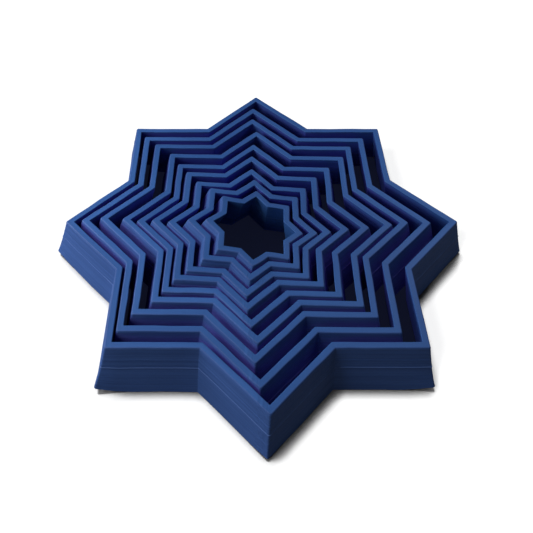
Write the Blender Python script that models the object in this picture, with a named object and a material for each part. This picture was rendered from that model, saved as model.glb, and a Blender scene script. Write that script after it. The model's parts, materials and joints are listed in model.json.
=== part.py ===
"""Nested star toy: nine loose eight-pointed rings, standing one inside the other.

Every ring is one printed plastic wall, bent round an eight-pointed star and flared towards its foot.
The flare is what makes the toy work: a ring slides up inside the ring around it until the walls wedge,
so lifting the middle draws all nine out into a stepped cone. The rings stand where they were dropped,
each a little off centre and turned, and the innermost ones lean.

Metres, +Z up. The outermost ring is centred on the origin with its foot on z = 0 and a point towards -Y.
"""
import math

import bmesh
import bpy
from mathutils import Matrix, Vector

MM = 0.001

# The star and the set of rings
POINTS = 8                       # points on a star, one every 45 degrees
RINGS = 9
TIP_RADIUS = 50.0 * MM           # centre to point, at the top of the outermost ring
FIRST_STEP = 5.4 * MM            # how much shorter the second ring's points are than the first's
STEP_LOSS = 0.2 * MM             # each step after that is this much smaller

# One ring's wall
HEIGHT = 13.7 * MM
WALL = 1.55 * MM                 # thickness of the wall, measured level and square to it
FLARE = 5.6 * MM                 # how much further out a point is at the foot than at the top
FOOT_CHAMFER = 0.35 * MM
TOP_CHAMFER = 0.15 * MM
TIP_ROUND = 0.45 * MM            # radius of a point's rounded upright edge
TIP_SEGMENTS = 3

# How the rings stand. Slips are from the centre of the ring around it, in millimetres.
SLIPS = ((0.0, 0.0), (-1.4, 0.0), (-0.6, 0.4), (0.8, -0.5), (-1.1, -0.8),
         (-0.9, -0.6), (-0.4, -1.0), (0.0, -0.7), (-0.2, -0.5))
TURN = math.radians(-0.5)        # each ring's turn about Z, from the ring around it
LEANS = (0.0, 0.0, 0.0, 0.0, 0.0, 1.0, 2.0, 5.0, 8.0)    # degrees; the outer rings stand flat
LEAN_AXIS = Vector((math.cos(math.radians(97.0)), math.sin(math.radians(97.0)), 0.0))

# Plastic
BLUE = (0.035, 0.135, 0.40, 1.0)
ROUGHNESS = 0.45

# The star's sides lie on two squares, one turned 45 degrees from the other
SIDE_TO_TIP = math.cos(math.radians(45.0))              # side's distance from the centre, per tip radius
NOTCH_TO_TIP = SIDE_TO_TIP / math.cos(math.pi / POINTS)  # notch's distance from the centre, per tip radius


def clear_scene():
    for thing in list(bpy.data.objects):
        bpy.data.objects.remove(thing, do_unlink=True)


def plastic(name):
    material = bpy.data.materials.new(name)
    material.use_nodes = True
    shader = material.node_tree.nodes["Principled BSDF"]
    shader.inputs["Base Color"].default_value = BLUE
    shader.inputs["Roughness"].default_value = ROUGHNESS
    shader.inputs["Metallic"].default_value = 0.0
    return material


def tip_radii():
    """Centre to point at the top of each ring, from the outermost ring inwards."""
    radii = [TIP_RADIUS]
    for number in range(RINGS - 1):
        radii.append(radii[-1] - (FIRST_STEP - STEP_LOSS * number))
    return radii


def star_outline(tip_radius, height):
    """Points of a level star with rounded tips, anticlockwise from the tip towards -Y."""
    outline = []
    for point in range(POINTS):
        direction = math.radians(-90.0) + point * math.tau / POINTS
        round_centre = tip_radius - TIP_ROUND / SIDE_TO_TIP
        for step in range(TIP_SEGMENTS + 1):
            turn = direction + math.radians(90.0) * (step / TIP_SEGMENTS - 0.5)
            outline.append(Vector((
                round_centre * math.cos(direction) + TIP_ROUND * math.cos(turn),
                round_centre * math.sin(direction) + TIP_ROUND * math.sin(turn),
                height)))
        notch = direction + math.pi / POINTS
        notch_radius = tip_radius * NOTCH_TO_TIP
        outline.append(Vector((notch_radius * math.cos(notch), notch_radius * math.sin(notch), height)))
    return outline


def wall_section():
    """The wall's cross-section, as (distance in from the outer face, height) pairs, once round."""
    return (
        (FOOT_CHAMFER, 0.0),
        (0.0, FOOT_CHAMFER),
        (0.0, HEIGHT - TOP_CHAMFER),
        (TOP_CHAMFER, HEIGHT),
        (WALL - TOP_CHAMFER, HEIGHT),
        (WALL, HEIGHT - TOP_CHAMFER),
        (WALL, FOOT_CHAMFER),
        (WALL - FOOT_CHAMFER, 0.0),
    )


def ring_mesh(name, tip_radius):
    """Sweep the wall's section round the star, as a closed mesh with its foot on z = 0."""
    mesh_builder = bmesh.new()
    loops = []
    for inset, height in wall_section():
        flared = tip_radius + FLARE * (1.0 - height / HEIGHT)
        outline = star_outline(flared - inset / SIDE_TO_TIP, height)
        loops.append([mesh_builder.verts.new(place) for place in outline])
    for index, loop in enumerate(loops):
        following = loops[(index + 1) % len(loops)]
        for corner in range(len(loop)):
            after = (corner + 1) % len(loop)
            mesh_builder.faces.new((loop[corner], loop[after], following[after], following[corner]))
    bmesh.ops.recalc_face_normals(mesh_builder, faces=mesh_builder.faces)
    mesh = bpy.data.meshes.new(name)
    mesh_builder.to_mesh(mesh)
    mesh_builder.free()
    return mesh


def standing(index, tip_radius, centre):
    """Where a ring stands: turned, leaning, and set down so that its lowest tip touches z = 0."""
    turned = Matrix.Rotation(math.radians(LEANS[index]), 4, LEAN_AXIS) @ Matrix.Rotation(TURN * index, 4, "Z")
    foot = star_outline(tip_radius + FLARE - FOOT_CHAMFER / SIDE_TO_TIP, 0.0)
    lowest = min((turned @ corner).z for corner in foot)
    return Matrix.Translation((centre.x, centre.y, -lowest)) @ turned


def build():
    clear_scene()
    centre = Vector((0.0, 0.0))
    for index, tip_radius in enumerate(tip_radii()):
        name = f"star_ring_{index + 1}"
        centre += Vector(SLIPS[index]) * MM
        ring = bpy.data.objects.new(name, ring_mesh(name, tip_radius))
        ring.data.materials.append(plastic(f"{name}_plastic"))
        ring.matrix_world = standing(index, tip_radius, centre)
        bpy.context.scene.collection.objects.link(ring)


build()
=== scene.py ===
"""Nested star toy: how it looks. Nine printed plastic rings, one standing inside the other.

Each CAD ring is replaced by a detailed one: its wall is built layer by layer, as a filament printer lays it,
with rounded bead edges, small layer shifts, wavy walls, four passes along the top and corners that lifted
a little off the printer's bed. Metres, +Z up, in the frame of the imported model.
"""
import json
import math

import bpy
import numpy as np
from mathutils import Matrix, Vector

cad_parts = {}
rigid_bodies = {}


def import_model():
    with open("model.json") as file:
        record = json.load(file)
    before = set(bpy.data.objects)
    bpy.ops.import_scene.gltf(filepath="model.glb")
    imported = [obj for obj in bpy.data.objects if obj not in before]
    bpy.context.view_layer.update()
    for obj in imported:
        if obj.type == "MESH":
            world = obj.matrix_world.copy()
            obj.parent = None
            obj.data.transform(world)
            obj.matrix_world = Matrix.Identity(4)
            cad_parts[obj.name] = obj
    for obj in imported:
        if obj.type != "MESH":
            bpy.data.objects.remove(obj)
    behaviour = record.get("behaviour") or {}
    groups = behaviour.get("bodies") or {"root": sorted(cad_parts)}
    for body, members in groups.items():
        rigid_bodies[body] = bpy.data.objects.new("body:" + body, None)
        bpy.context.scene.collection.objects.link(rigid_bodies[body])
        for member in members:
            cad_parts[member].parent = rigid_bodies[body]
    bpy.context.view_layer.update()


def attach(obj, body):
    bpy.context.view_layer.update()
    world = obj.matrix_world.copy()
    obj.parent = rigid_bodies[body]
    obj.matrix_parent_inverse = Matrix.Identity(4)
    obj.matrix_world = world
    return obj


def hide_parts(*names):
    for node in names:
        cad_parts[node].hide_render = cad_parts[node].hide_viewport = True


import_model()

MM = 0.001

# ---- The rings as the CAD has them ----
POINTS = 8
RINGS = 9
TIP_RADIUS = 50.0 * MM           # centre to point, at the top of the outermost ring
FIRST_STEP = 5.4 * MM            # how much shorter the second ring's points are than the first's
STEP_LOSS = 0.2 * MM             # each step after that is this much smaller
HEIGHT = 13.7 * MM
WALL = 1.55 * MM
FLARE = 5.6 * MM                 # how much further out a point is at the foot than at the top
FOOT_CHAMFER = 0.35 * MM
TIP_ROUND = 0.45 * MM
TIP_SEGMENTS = 3
# How the rings stand: slips from the centre of the ring around, in mm, a turn from it, and leans in degrees
SLIPS = ((0.0, 0.0), (-1.4, 0.0), (-0.6, 0.4), (0.8, -0.5), (-1.1, -0.8),
         (-0.9, -0.6), (-0.4, -1.0), (0.0, -0.7), (-0.2, -0.5))
TURN = math.radians(-0.5)
LEANS = (0.0, 0.0, 0.0, 0.0, 0.0, 1.0, 2.0, 5.0, 8.0)
LEAN_AXIS = Vector((math.cos(math.radians(97.0)), math.sin(math.radians(97.0)), 0.0))
# The star's sides lie on two squares, one turned 45 degrees from the other
SIDE_TO_TIP = math.cos(math.radians(45.0))
NOTCH_TO_TIP = SIDE_TO_TIP / math.cos(math.pi / POINTS)

# ---- How a wall is printed ----
LAYERS = 46
GROOVE = 0.034 * MM              # depth of the groove between two layers
LAYER_SHIFT = 0.009 * MM         # how far a layer is out of line with the rest, one standard deviation
CREST = (0.32, 0.68)             # where a layer's outer face is flat, as shares of its height
INNER_CREST = 0.5                # the same on the inner face, which has one row of points to a layer
PROUD_HEIGHT = 0.545             # where one layer stands proud all round, as a share of the height
PROUD = 0.07 * MM
FOOT_ROUND = 0.2 * MM
TOP_ROUND = 0.21 * MM
ROUND_STEPS = 3                  # faces round each rounded edge of the foot and the top
PASSES = 4                       # passes of the nozzle side by side along the top
PASS_DEPTH = 0.014 * MM          # depth of the groove between two passes
PASS_FLAT = (0.3, 0.7)           # where a pass is flat, as shares of its width
INNER_TIP_ROUND = 0.16 * MM      # radii of the upright edges in plan: TIP_ROUND is the outer face's
NOTCH_ROUND = 0.22 * MM
INNER_NOTCH_ROUND = 0.4 * MM
TIP_STEPS = 4                    # faces round a tip and round a notch
NOTCH_STEPS = 2
STEP = 3.4 * MM                  # spacing of the points along a straight side
FEWEST_STEPS = 4
FIRST_SEED = 40                  # the outermost ring's seed; each ring after it has the next number
SHARP_ANGLE = math.radians(40.0)

# How a wall wavers: a sum of waves along it, which drift with height
WAVE = 0.032 * MM                # size of the waviness of a wall as a whole
OWN_WAVE = 0.5                   # waviness of each face by itself, as a share of WAVE
WAVE_INSET = 0.3                 # how far the wall is set in for its waves, as a share of WAVE
WAVE_COUNT = 14
WAVE_SIZE = 0.38                 # brings the sum of the waves to a size of about 1
WAVE_DRIFT = 1.4                 # radians over the wall's height, one standard deviation
FEWEST_CYCLES = 3
MOST_CYCLES = 5                  # fewer cycles than this round a ring, plus one for each SHORTEST_WAVE in it
SHORTEST_WAVE = 8.0 * MM

# How the corners lifted off the bed, for the tips anticlockwise from the one towards -Y
CORNER_LIFT = (0.9, 1.6, 1.0, 0.6, 0.4, 0.6, 1.2, 2.0)  # mm
LIFT_REACH = 7.5 * MM            # how far from the tip the lift starts
LIFT_CURVE = 1.6                 # how the lift grows towards the tip
LIFT_FADE = 1.5                  # how it fades up the wall
# How far the foot of each side of the outermost ring has bowed out, in mm, anticlockwise from the front tip
FOOT_BOW = (-0.1, 0.2, 0.0, -0.25, 0.0, 0.0, 0.0, 0.0, 0.0, 0.0, 0.0, 0.0, 0.0, 0.1, 0.7, 0.0)
BOW_FADE = 1.5                   # how it fades up the wall


def tip_radii():
    radii = [TIP_RADIUS]
    for number in range(RINGS - 1):
        radii.append(radii[-1] - (FIRST_STEP - STEP_LOSS * number))
    return radii


def foot_outline(tip_radius):
    """The CAD foot's outline, which decides how high a leaning ring stands."""
    outline = []
    for point in range(POINTS):
        direction = math.radians(-90.0) + point * math.tau / POINTS
        round_centre = tip_radius - TIP_ROUND / SIDE_TO_TIP
        for step in range(TIP_SEGMENTS + 1):
            turn = direction + math.radians(90.0) * (step / TIP_SEGMENTS - 0.5)
            outline.append(Vector((
                round_centre * math.cos(direction) + TIP_ROUND * math.cos(turn),
                round_centre * math.sin(direction) + TIP_ROUND * math.sin(turn), 0.0)))
    return outline


def standing(index, tip_radius, centre):
    """Where a ring stands: turned, leaning, and set down so that its lowest tip touches z = 0."""
    turned = Matrix.Rotation(math.radians(LEANS[index]), 4, LEAN_AXIS) @ Matrix.Rotation(TURN * index, 4, "Z")
    foot = foot_outline(tip_radius + FLARE - FOOT_CHAMFER / SIDE_TO_TIP)
    lowest = min((turned @ corner).z for corner in foot)
    return Matrix.Translation((centre.x, centre.y, -lowest)) @ turned


# ---- Ring geometry ----

def wall_rows(rng):
    """Rows of the wall's section, once round: (inset, height, depth), where depth is 0 outside and 1 inside."""
    layer = HEIGHT / LAYERS
    shifts = rng.normal(0.0, LAYER_SHIFT, (2, LAYERS))
    proud = int(round(PROUD_HEIGHT * LAYERS))
    rows = []

    def face(side):
        """Bottom to top up one face: a groove and a crest for each layer, less the rounded foot and top."""
        up = []
        for number in range(LAYERS):
            low = number * layer
            shift = shifts[side, number]
            if side == 0 and number == proud:
                shift -= PROUD
            crests = CREST if side == 0 else (INNER_CREST,)
            stations = [(low, GROOVE)] + [(low + share * layer, 0.0) for share in crests]
            for height, depth in stations:
                if FOOT_ROUND < height < HEIGHT - TOP_ROUND:
                    up.append((depth + (shift if depth == 0.0 else 0.0), height))
        return up

    def quarter(size):
        """(inset, distance from the foot or the top) pairs round a rounded edge, from the foot or top on."""
        return [(size * (1 - math.sin(a)), size * (1 - math.cos(a)))
                for a in (math.radians(90.0) * s / ROUND_STEPS for s in range(ROUND_STEPS + 1))]

    foot = quarter(FOOT_ROUND)
    rows += [(inset, height, 0.0) for inset, height in foot + face(0)]
    for inset, drop in reversed(quarter(TOP_ROUND)):
        rows.append((inset, HEIGHT - drop, 0.0))
    width = (WALL - 2 * TOP_ROUND) / PASSES
    for number in range(PASSES):
        left = TOP_ROUND + number * width
        if number:
            rows.append((left, HEIGHT - PASS_DEPTH, left / WALL))
        for share in PASS_FLAT:
            rows.append((left + share * width, HEIGHT, (left + share * width) / WALL))
    for inset, drop in quarter(TOP_ROUND):
        rows.append((WALL - inset, HEIGHT - drop, 1.0))
    rows += [(WALL - inset, height, 1.0) for inset, height in reversed(foot + face(1))]
    return rows


def star_loop(tip_radius, tip_round, notch_round, steps):
    """Places and outward normals round a star with rounded tips and notches, with `steps` parts to a side."""
    # One point of the star, as if it lay towards +X: round its tip, along a side, round the notch and along
    # the next side. The other points are copies of it.
    places, normals = [], []
    tip_centre = tip_radius - tip_round / SIDE_TO_TIP
    for step in range(TIP_STEPS + 1):
        turn = math.radians(90.0) * (step / TIP_STEPS - 0.5)
        places.append((tip_centre + tip_round * math.cos(turn), tip_round * math.sin(turn)))
        normals.append((math.cos(turn), math.sin(turn)))
    half = math.pi / POINTS
    notch = tip_radius * NOTCH_TO_TIP
    centre = notch + notch_round / math.cos(half)
    arc = []
    for step in range(NOTCH_STEPS + 1):
        turn = math.radians(225.0) - math.radians(45.0) * step / NOTCH_STEPS
        arc.append(((centre * math.cos(half) + notch_round * math.cos(turn),
                     centre * math.sin(half) + notch_round * math.sin(turn)),
                    (-math.cos(turn), -math.sin(turn))))
    next_turn = 2 * half
    start_next = (tip_centre + tip_round * SIDE_TO_TIP, -tip_round * SIDE_TO_TIP)
    next_tip = (start_next[0] * math.cos(next_turn) - start_next[1] * math.sin(next_turn),
                start_next[0] * math.sin(next_turn) + start_next[1] * math.cos(next_turn))

    def side(begin, end, normal):
        for step in range(1, steps):
            share = step / steps
            places.append((begin[0] + (end[0] - begin[0]) * share, begin[1] + (end[1] - begin[1]) * share))
            normals.append(normal)

    side(places[-1], arc[0][0], normals[-1])
    for place, normal in arc:
        places.append(place)
        normals.append(normal)
    side(arc[-1][0], next_tip, arc[-1][1])
    places, normals = np.array(places), np.array(normals)
    all_places, all_normals = [], []
    for point in range(POINTS):
        angle = math.radians(-90.0) + point * math.tau / POINTS
        turn = np.array([[math.cos(angle), math.sin(angle)], [-math.sin(angle), math.cos(angle)]])
        all_places.append(places @ turn)
        all_normals.append(normals @ turn)
    return np.vstack(all_places), np.vstack(all_normals)


def bow_vectors(steps):
    """How each column of the outermost ring's foot moves, so that its sides stay straight, in metres."""
    def square_to(side):
        """The way that a side faces."""
        angle = math.radians(-90.0) + (side // 2) * math.tau / POINTS
        if side % 2 == 0:
            angle += math.radians(45.0)
        return np.array([math.cos(angle), math.sin(angle)])

    corners = []
    for corner in range(2 * POINTS):
        sides = (corner - 1) % (2 * POINTS), corner
        push = np.array([FOOT_BOW[side] for side in sides]) * MM
        corners.append(np.linalg.solve(np.array([square_to(side) for side in sides]), push))
    moves = []
    for point in range(POINTS):
        tip, notch = corners[2 * point], corners[2 * point + 1]
        next_tip = corners[(2 * point + 2) % (2 * POINTS)]
        moves += [tip] * (TIP_STEPS + 1)
        moves += [tip + (notch - tip) * step / steps for step in range(1, steps)]
        moves += [notch] * (NOTCH_STEPS + 1)
        moves += [notch + (next_tip - notch) * step / steps for step in range(1, steps)]
    return np.array(moves)


def waves(rng, along, total, height):
    """Smooth waviness along a wall that drifts slowly with height, about 1 in size."""
    value = np.zeros(np.broadcast(along, height).shape)
    for _ in range(WAVE_COUNT):
        cycles = int(rng.integers(FEWEST_CYCLES, MOST_CYCLES + int(total / SHORTEST_WAVE)))
        drift = rng.normal(0.0, WAVE_DRIFT)
        start = rng.uniform(0.0, math.tau)
        value += np.sin(math.tau * cycles * along / total + start + drift * height / HEIGHT) * WAVE_SIZE
    return value


def lift_corners(grid, tip_radius):
    """Raise the corners that came off the printer's bed as it cooled.

    Those of the inner rings slide up along the wall's slope, so that they still pass through the ring around.
    """
    tip_angles = np.radians(-90.0) + np.arange(POINTS) * math.tau / POINTS
    foot = tip_radius + FLARE
    for angle, lift in zip(tip_angles, CORNER_LIFT):
        tip = np.array([foot * math.cos(angle), foot * math.sin(angle)])
        near = np.clip(1.0 - np.linalg.norm(grid[:, :, :2] - tip, axis=2) / LIFT_REACH, 0.0, 1.0)
        size = lift * MM * (tip_radius / TIP_RADIUS)
        rise = size * near ** LIFT_CURVE * np.clip(1.0 - grid[:, :, 2] / HEIGHT, 0.0, 1.0) ** LIFT_FADE
        grid[:, :, 2] += rise
        if tip_radius < TIP_RADIUS:
            grid[:, :, 0] -= rise * FLARE / HEIGHT * math.cos(angle)
            grid[:, :, 1] -= rise * FLARE / HEIGHT * math.sin(angle)


def ring_mesh(name, tip_radius, matrix, seed):
    """One printed ring, in world places. ring_place and wall_place tell the plastic where on the ring it is."""
    rng = np.random.default_rng(seed)
    rows = wall_rows(rng)
    side_length = tip_radius * math.tan(math.pi / POINTS)
    steps = max(FEWEST_STEPS, int(round(side_length / STEP)))
    grid, out = [], []
    for inset, height, depth in rows:
        flared = tip_radius + FLARE * (1.0 - height / HEIGHT)
        tip_round = TIP_ROUND + (INNER_TIP_ROUND - TIP_ROUND) * depth
        notch_round = NOTCH_ROUND + (INNER_NOTCH_ROUND - NOTCH_ROUND) * depth
        places, normals = star_loop(flared - inset / SIDE_TO_TIP, tip_round, notch_round, steps)
        grid.append(np.column_stack([places, np.full(len(places), height)]))
        out.append(normals)
    grid, out = np.array(grid), np.array(out)
    height = np.array([row[1] for row in rows])[:, None]
    depth = np.array([row[2] for row in rows])[:, None]
    reference = grid[len(rows) // 4]
    hops = np.linalg.norm(np.roll(reference, -1, 0) - reference, axis=1)
    total = hops.sum()
    along = np.concatenate([[0.0], np.cumsum(hops)[:-1]])[None, :]

    # The wall weaves a little as a whole, and each face a little by itself
    weave = WAVE * waves(rng, along, total, height)
    own = OWN_WAVE * WAVE * waves(rng, along, total, height) * (1 - 2 * depth)
    grid[:, :, :2] += out * (weave + own - WAVE_INSET * WAVE)[:, :, None]

    if tip_radius == TIP_RADIUS:
        fade = np.clip(1.0 - height / HEIGHT, 0.0, 1.0) ** BOW_FADE
        grid[:, :, :2] += bow_vectors(steps)[None, :, :] * fade[:, :, None]

    lift_corners(grid, tip_radius)

    # Squares between each row and the next, and back round to the first
    count_rows, count = grid.shape[:2]
    flat = grid.reshape(-1, 3)
    turn = np.array(matrix.to_3x3())
    world = flat @ turn.T + np.array(matrix.translation)
    row = np.arange(count_rows)[:, None]
    column = np.arange(count)[None, :]
    here = row * count + column
    after = row * count + (column + 1) % count
    up_after = ((row + 1) % count_rows) * count + (column + 1) % count
    up = ((row + 1) % count_rows) * count + column
    faces = np.stack([here, after, up_after, up], axis=-1).reshape(-1, 4)
    mesh = bpy.data.meshes.new(name)
    mesh.from_pydata(world.tolist(), [], faces.tolist())
    mesh.update()
    ring_place = mesh.attributes.new("ring_place", "FLOAT_VECTOR", "POINT")
    ring_place.data.foreach_set("vector", flat.astype(np.float32).ravel())
    printed = np.stack([np.broadcast_to(along, grid.shape[:2]), np.broadcast_to(height, grid.shape[:2]),
                        np.broadcast_to(depth * WALL, grid.shape[:2])], axis=-1)
    wall_place = mesh.attributes.new("wall_place", "FLOAT_VECTOR", "POINT")
    wall_place.data.foreach_set("vector", printed.reshape(-1, 3).astype(np.float32).ravel())
    mesh.polygons.foreach_set("use_smooth", np.ones(len(mesh.polygons), bool))
    mesh.set_sharp_from_angle(angle=SHARP_ANGLE)
    return mesh


# ---- Plastic: what it is made of and how it looks ----
# Colours are linear. Noise sizes are in cycles per metre.
DARK_BLUE = (0.027, 0.092, 0.305, 1.0)
LIGHT_BLUE = (0.043, 0.138, 0.425, 1.0)
BLUE_ENDS = (0.2, 0.8)           # the tones at which the plastic is darkest and lightest, out of 0 to 1
MIDDLE_TONE = 0.5

# Noise stretched along a wall: cycles along it, up it and through it
LAYER_BANDS = (14.0, 2600.0, 300.0)
WIDE_BANDS = (5.0, 620.0, 100.0)
PALE_PATCHES = (260.0, 40.0, 40.0)
# Noise that is the same every way
MOTTLE = 95.0
GRAIN = 5200.0
# How far each noise moves the tone, up and down
LAYER_TONE = 0.65
WIDE_TONE = 0.25
MOTTLE_TONE = 0.10
GRAIN_TONE = 0.05

# The ribbed outer faces are painted a little greyer than the flat tops: a painted reflection of the pale floor and
# surroundings, which these upright faces mirror more than the tops do
PAINTED_REFLECTION_GREY = (1.32, 0.95, 0.92, 1.0)             # multiplies the colour
OUTER_DEPTH = (0.05 * MM, 0.2 * MM)          # depths at which that starts to fade, and has faded out

# One layer, half way up, is paler than the rest, in patches
PALE_BLUE = (0.15, 0.24, 0.52, 1.0)
PALE_SHARE = 0.32
PALE_HEIGHT = 7.58 * MM
PALE_EDGE = (0.08 * MM, 0.22 * MM)           # distances from it at which it starts to fade, and has faded out
PATCHINESS = (0.3, 1.7)
PALE_LEFT_EDGE = (-41.0 * MM, -38.5 * MM)    # it nearly fades out at the ring's -X point, between these
PALE_LEFT_SHARE = 0.15

# Painted bounce light and shade: in narrow gaps the colour is painted a deeper, more violet blue, standing in for
# light that has bounced about in a gap
PAINTED_GAP_BOUNCE = (2.3, 0.70, 1.35, 1.0)            # multiplies the colour
GAP_REACH = 6.0 * MM
GAP_OPENNESS = (0.48, 0.12)                  # openness at which the tint starts, and is full

ROUGHNESS = (0.46, 0.62)
BAND_ROUGHNESS = 0.08            # how far the layer bands move the roughness, up and down
BUMP_GRAIN = 0.4                 # height of the grain, as a share of the layer bands' height
BUMP_STRENGTH = 0.35
BUMP_DEPTH = 0.03 * MM
IOR = 1.46
SPECULAR = 0.26


class Nodes:
    """Short calls for building a material out of nodes."""

    def __init__(self, name):
        self.material = bpy.data.materials.new(name)
        self.material.use_nodes = True
        self.tree = self.material.node_tree
        self.shader = self.tree.nodes["Principled BSDF"]

    def feed(self, socket, value):
        """Link a node's output to an input, or set the input to a plain value."""
        if isinstance(value, bpy.types.NodeSocket):
            self.tree.links.new(value, socket)
        else:
            socket.default_value = value

    def add(self, kind, inputs, **settings):
        node = self.tree.nodes.new(kind)
        for key, value in settings.items():
            setattr(node, key, value)
        for key, value in inputs.items():
            self.feed(node.inputs[key], value)
        return node

    def shade(self, **inputs):
        """Give the shader its inputs, named with _ for a space, and hand back the finished material."""
        for name, value in inputs.items():
            self.feed(self.shader.inputs[name.replace("_", " ")], value)
        return self.material

    def place(self, name):
        return self.add("ShaderNodeAttribute", {}, attribute_name=name).outputs["Vector"]

    def split(self, vector):
        return self.add("ShaderNodeSeparateXYZ", {0: vector}).outputs

    def math(self, operation, first, second=0.0, clamp=False):
        return self.add("ShaderNodeMath", {0: first, 1: second}, operation=operation, use_clamp=clamp).outputs[0]

    def ranged(self, value, start, end, first, last, kind="LINEAR"):
        """value, from start to end, to a number from first to last, and no further."""
        return self.add("ShaderNodeMapRange", {0: value, 1: start, 2: end, 3: first, 4: last},
                        interpolation_type=kind).outputs[0]

    def swing(self, value, size):
        """value, from 0 to 1, to a number from -size to size."""
        return self.ranged(value, 0.0, 1.0, -size, size)

    def noise(self, vector, scale, detail, roughness=0.5):
        return self.add("ShaderNodeTexNoise", {"Vector": vector, "Scale": scale, "Detail": detail,
                                               "Roughness": roughness}).outputs["Fac"]

    def wall_noise(self, wall_place, cycles, detail, roughness=0.5):
        stretched = self.add("ShaderNodeVectorMath", {0: wall_place, 1: cycles}, operation="MULTIPLY").outputs[0]
        return self.noise(stretched, 1.0, detail, roughness)

    def mix(self, share, first, second, blend="MIX"):
        return self.add("ShaderNodeMix", {0: share, 6: first, 7: second}, data_type="RGBA",
                        blend_type=blend).outputs[2]

    def openness(self, samples, reach, **inputs):
        """1 where nothing is near, down to 0 where a spot is shut in by surfaces within reach."""
        return self.add("ShaderNodeAmbientOcclusion", {"Distance": reach, **inputs}, samples=samples).outputs["AO"]


def blue_plastic():
    nodes = Nodes("blue_filament")
    ring_place = nodes.place("ring_place")
    wall_place = nodes.place("wall_place")
    across = nodes.split(ring_place)[0]
    _, height, depth = nodes.split(wall_place)

    layer_bands = nodes.wall_noise(wall_place, LAYER_BANDS, 2.0, 0.6)
    wide_bands = nodes.wall_noise(wall_place, WIDE_BANDS, 2.0)
    mottle = nodes.noise(ring_place, MOTTLE, 3.0, 0.55)
    grain = nodes.noise(ring_place, GRAIN, 2.0, 0.6)

    tone = nodes.math("ADD", nodes.swing(layer_bands, LAYER_TONE), nodes.swing(wide_bands, WIDE_TONE))
    tone = nodes.math("ADD", tone, nodes.swing(mottle, MOTTLE_TONE))
    tone = nodes.math("ADD", tone, nodes.swing(grain, GRAIN_TONE))
    tone = nodes.math("ADD", tone, MIDDLE_TONE, clamp=True)
    ramp = nodes.add("ShaderNodeValToRGB", {0: tone})
    for end, position, colour in zip(ramp.color_ramp.elements, BLUE_ENDS, (DARK_BLUE, LIGHT_BLUE)):
        end.position = position
        end.color = colour

    # Painted reflection: the outer faces are greyed, fading out into the top and the inner face
    outer = nodes.ranged(depth, *OUTER_DEPTH, 1.0, 0.0)
    colour = nodes.mix(outer, ramp.outputs[0], PAINTED_REFLECTION_GREY, "MULTIPLY")

    from_pale = nodes.math("ABSOLUTE", nodes.math("SUBTRACT", height, PALE_HEIGHT))
    pale = nodes.ranged(from_pale, *PALE_EDGE, PALE_SHARE, 0.0)
    patches = nodes.ranged(nodes.wall_noise(wall_place, PALE_PATCHES, 3.0), 0.0, 1.0, *PATCHINESS)
    patches = nodes.math("MULTIPLY", patches, nodes.ranged(across, *PALE_LEFT_EDGE, PALE_LEFT_SHARE, 1.0))
    colour = nodes.mix(nodes.math("MULTIPLY", pale, patches, clamp=True), colour, PALE_BLUE)

    # Painted bounce light and shade: deeper, more violet blue where a spot is shut in by other surfaces
    painted_gap_shade = nodes.ranged(nodes.openness(6, GAP_REACH), *GAP_OPENNESS, 0.0, 1.0)
    colour = nodes.mix(painted_gap_shade, colour, PAINTED_GAP_BOUNCE, "MULTIPLY")

    roughness = nodes.math("ADD", nodes.swing(layer_bands, BAND_ROUGHNESS),
                           nodes.ranged(mottle, 0.0, 1.0, *ROUGHNESS))
    bump = nodes.math("ADD", nodes.math("MULTIPLY", grain, BUMP_GRAIN), layer_bands)
    relief = nodes.add("ShaderNodeBump", {"Height": bump, "Strength": BUMP_STRENGTH, "Distance": BUMP_DEPTH})
    return nodes.shade(Base_Color=colour, Roughness=roughness, Normal=relief.outputs[0], IOR=IOR,
                       Specular_IOR_Level=SPECULAR)


def build_rings():
    plastic = blue_plastic()
    centre = Vector((0.0, 0.0))
    for index, tip_radius in enumerate(tip_radii()):
        centre += Vector(SLIPS[index]) * MM
        name = f"printed_ring_{index + 1}"
        mesh = ring_mesh(name, tip_radius, standing(index, tip_radius, centre), FIRST_SEED + index)
        mesh.materials.append(plastic)
        ring = bpy.data.objects.new(name, mesh)
        bpy.context.scene.collection.objects.link(ring)
        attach(ring, "outer_ring" if index == 0 else f"ring_{index + 1}")
        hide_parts(f"star_ring_{index + 1}")


# ---- Floor, light and camera ----
FLOOR_SIZE = 6.0
FLOOR_DROP = 0.03 * MM
FLOOR_SEEN = (0.93, 0.93, 0.93, 1.0)         # the floor's colour to the camera
FLOOR_HIDDEN = (0.10, 0.10, 0.10, 1.0)       # its colour to all other rays, so that it throws little light back up
BLACK = (0.0, 0.0, 0.0, 1.0)
# A painted shadow: the tight dark edge of the shadow is painted into the floor's colour, on spots of the floor
# that have the toy close by on this side
PAINTED_SHADOW_SIDE = (135.0, 40.0)                    # azimuth and elevation, in degrees
PAINTED_SHADOW_REACH = 3.3 * MM
PAINTED_SHADOW_OPENNESS = (0.92, 0.45)                 # openness at which the edge starts, and is full
PAINTED_SHADOW_DARKNESS = 0.92

# The dark underlay seen through the gaps: a dark sheet that stands in for the deep shade under the toy, partly
# also for the dark table it stood on. Its faint blue glow is painted light: it glows though it is no lamp
SHADE_DROP = 0.015 * MM
SHADE_TIP = 54.4 * MM
SHADE_CUT = 0.92                             # its tips are cut off here, as a share of the way from notch to tip
SHADE_BLUE = (0.045, 0.050, 0.075, 1.0)
PAINTED_GLOW = 0.014
PAINTED_GLOW_BLUE = (0.26, 0.33, 0.90, 1.0)

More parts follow.
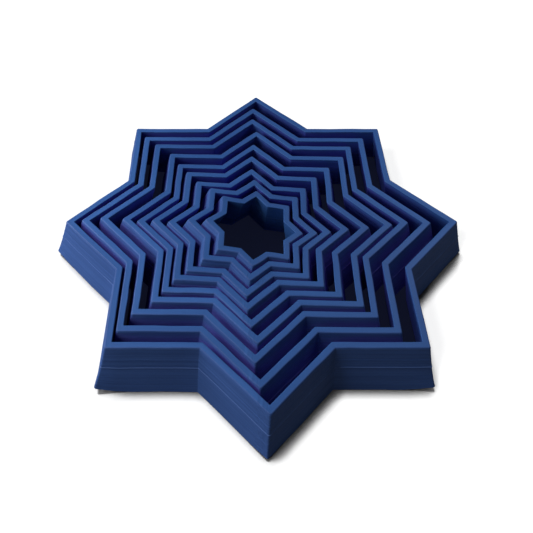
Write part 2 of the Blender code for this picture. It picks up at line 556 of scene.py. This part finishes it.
# Name, kind, azimuth and elevation in degrees, distance, energy, size, and what it lights.
# A sun's size is in degrees and a lamp's in metres. Azimuth 0 is +X and 90 is +Y.
LIGHTS = (
    ("floor_behind", "SUN", 124.0, 67.0, 1.0, 3.18, 12.0, "floor"),
    ("floor_front", "SUN", 215.0, 48.0, 1.0, 0.80, 10.0, "floor"),
    ("overhead", "SUN", 166.0, 60.0, 1.0, 0.95, 10.0, "printed_ring"),
    ("window", "AREA", 197.0, 38.0, 0.20, 0.074, 0.09, "printed_ring"),
    ("near_window", "AREA", 175.0, 25.0, 0.14, 0.070, 0.06, "printed_ring"),
    ("behind", "AREA", 35.0, 50.0, 0.17, 0.048, 0.06, "printed_ring"),
    ("front", "AREA", 235.0, 30.0, 0.14, 0.0064, 0.05, "printed_ring"),
)
WORLD_LIGHT = 0.055
WORLD_SEEN = 1.0

CAMERA_PLACE = (-0.00818, -0.08371, 0.11480)
CAMERA_ELEVATION = math.radians(55.39)
LENS = 34.63
SENSOR = 36.0
SHIFT_X = 0.0693
CLIP_START = 0.005


def away(azimuth, elevation):
    """Unit vector from the object towards an azimuth and elevation, in degrees."""
    a, e = math.radians(azimuth), math.radians(elevation)
    return Vector((math.cos(a) * math.cos(e), math.sin(a) * math.cos(e), math.sin(e)))


def add_stage(name, places, material):
    mesh = bpy.data.meshes.new(name)
    mesh.from_pydata(places, [], [tuple(range(len(places)))])
    mesh.materials.append(material)
    thing = bpy.data.objects.new(name, mesh)
    bpy.context.scene.collection.objects.link(thing)


def build_floor():
    """A pale floor that throws little light back up, with a painted shadow edge darkened into its colour close
    round the toy.
    """
    nodes = Nodes("pale_floor")
    side = away(*PAINTED_SHADOW_SIDE)
    direction = nodes.add("ShaderNodeCombineXYZ", {"X": side.x, "Y": side.y, "Z": side.z}).outputs[0]
    # Painted shadow: the floor's colour to the camera darkens where the toy stands close by on one side
    open_side = nodes.openness(8, PAINTED_SHADOW_REACH, Normal=direction)
    painted_shadow = nodes.ranged(open_side, *PAINTED_SHADOW_OPENNESS, 0.0, PAINTED_SHADOW_DARKNESS, "SMOOTHSTEP")
    seen = nodes.add("ShaderNodeLightPath", {}).outputs["Is Camera Ray"]
    colour = nodes.mix(seen, FLOOR_HIDDEN, nodes.mix(painted_shadow, FLOOR_SEEN, BLACK))
    pale = nodes.shade(Base_Color=colour, Roughness=0.95, Specular_IOR_Level=0.0)
    half = FLOOR_SIZE / 2
    add_stage("floor", [(-half, -half, -FLOOR_DROP), (half, -half, -FLOOR_DROP),
                        (half, half, -FLOOR_DROP), (-half, half, -FLOOR_DROP)], pale)


def build_underlay():
    """A dark star with cut-off tips, just inside the outermost ring's foot: painted shade under the toy, with a
    faint painted glow.
    """
    # Painted shade and painted light: a dark sheet with a faint blue glow
    dark = Nodes("dark_underlay").shade(Base_Color=SHADE_BLUE, Roughness=0.9, Specular_IOR_Level=0.1,
                                        Emission_Color=PAINTED_GLOW_BLUE, Emission_Strength=PAINTED_GLOW)
    tips, notches = [], []
    for point in range(POINTS):
        angle = math.radians(-90.0) + point * math.tau / POINTS
        tips.append(SHADE_TIP * np.array([math.cos(angle), math.sin(angle)]))
        angle += math.pi / POINTS
        notches.append(SHADE_TIP * NOTCH_TO_TIP * np.array([math.cos(angle), math.sin(angle)]))
    outline = []
    for point in range(POINTS):
        for notch in (notches[point - 1], notches[point]):
            x, y = notch + (tips[point] - notch) * SHADE_CUT
            outline.append((x, y, -SHADE_DROP))
        outline.append((*notches[point], -SHADE_DROP))
    add_stage("underlay", outline, dark)


def add_light(name, kind, azimuth, elevation, distance, energy, size, lights):
    data = bpy.data.lights.new(name, kind)
    data.energy = energy
    if kind == "SUN":
        data.angle = math.radians(size)
    else:
        data.shape = "DISK"
        data.size = size
    direction = away(azimuth, elevation)
    light = bpy.data.objects.new(name, data)
    light.location = direction * distance
    light.rotation_euler = direction.to_track_quat("Z", "Y").to_euler()
    light.visible_camera = False
    bpy.context.scene.collection.objects.link(light)
    lit = bpy.data.collections.new(f"{name}_lights")
    for thing in bpy.data.objects:
        if thing.name.startswith(lights):
            lit.objects.link(thing)
    light.light_linking.receiver_collection = lit


def build_light():
    for light in LIGHTS:
        add_light(*light)
    world = bpy.data.worlds.new("studio")
    world.use_nodes = True
    tree = world.node_tree
    background = tree.nodes["Background"]
    background.inputs["Color"].default_value = (1.0, 1.0, 1.0, 1.0)
    seen = tree.nodes.new("ShaderNodeLightPath").outputs["Is Camera Ray"]
    strength = tree.nodes.new("ShaderNodeMapRange")
    strength.inputs["To Min"].default_value = WORLD_LIGHT
    strength.inputs["To Max"].default_value = WORLD_SEEN
    tree.links.new(seen, strength.inputs["Value"])
    tree.links.new(strength.outputs[0], background.inputs["Strength"])
    bpy.context.scene.world = world
    bpy.context.scene.view_settings.view_transform = "Standard"


def build_camera():
    data = bpy.data.cameras.new("camera")
    data.lens = LENS
    data.sensor_width = SENSOR
    data.shift_x = SHIFT_X
    data.clip_start = CLIP_START
    camera = bpy.data.objects.new("camera", data)
    camera.location = CAMERA_PLACE
    camera.rotation_euler = (math.radians(90.0) - CAMERA_ELEVATION, 0.0, 0.0)
    bpy.context.scene.collection.objects.link(camera)
    bpy.context.scene.camera = camera


build_rings()
build_floor()
build_underlay()
build_light()
build_camera()
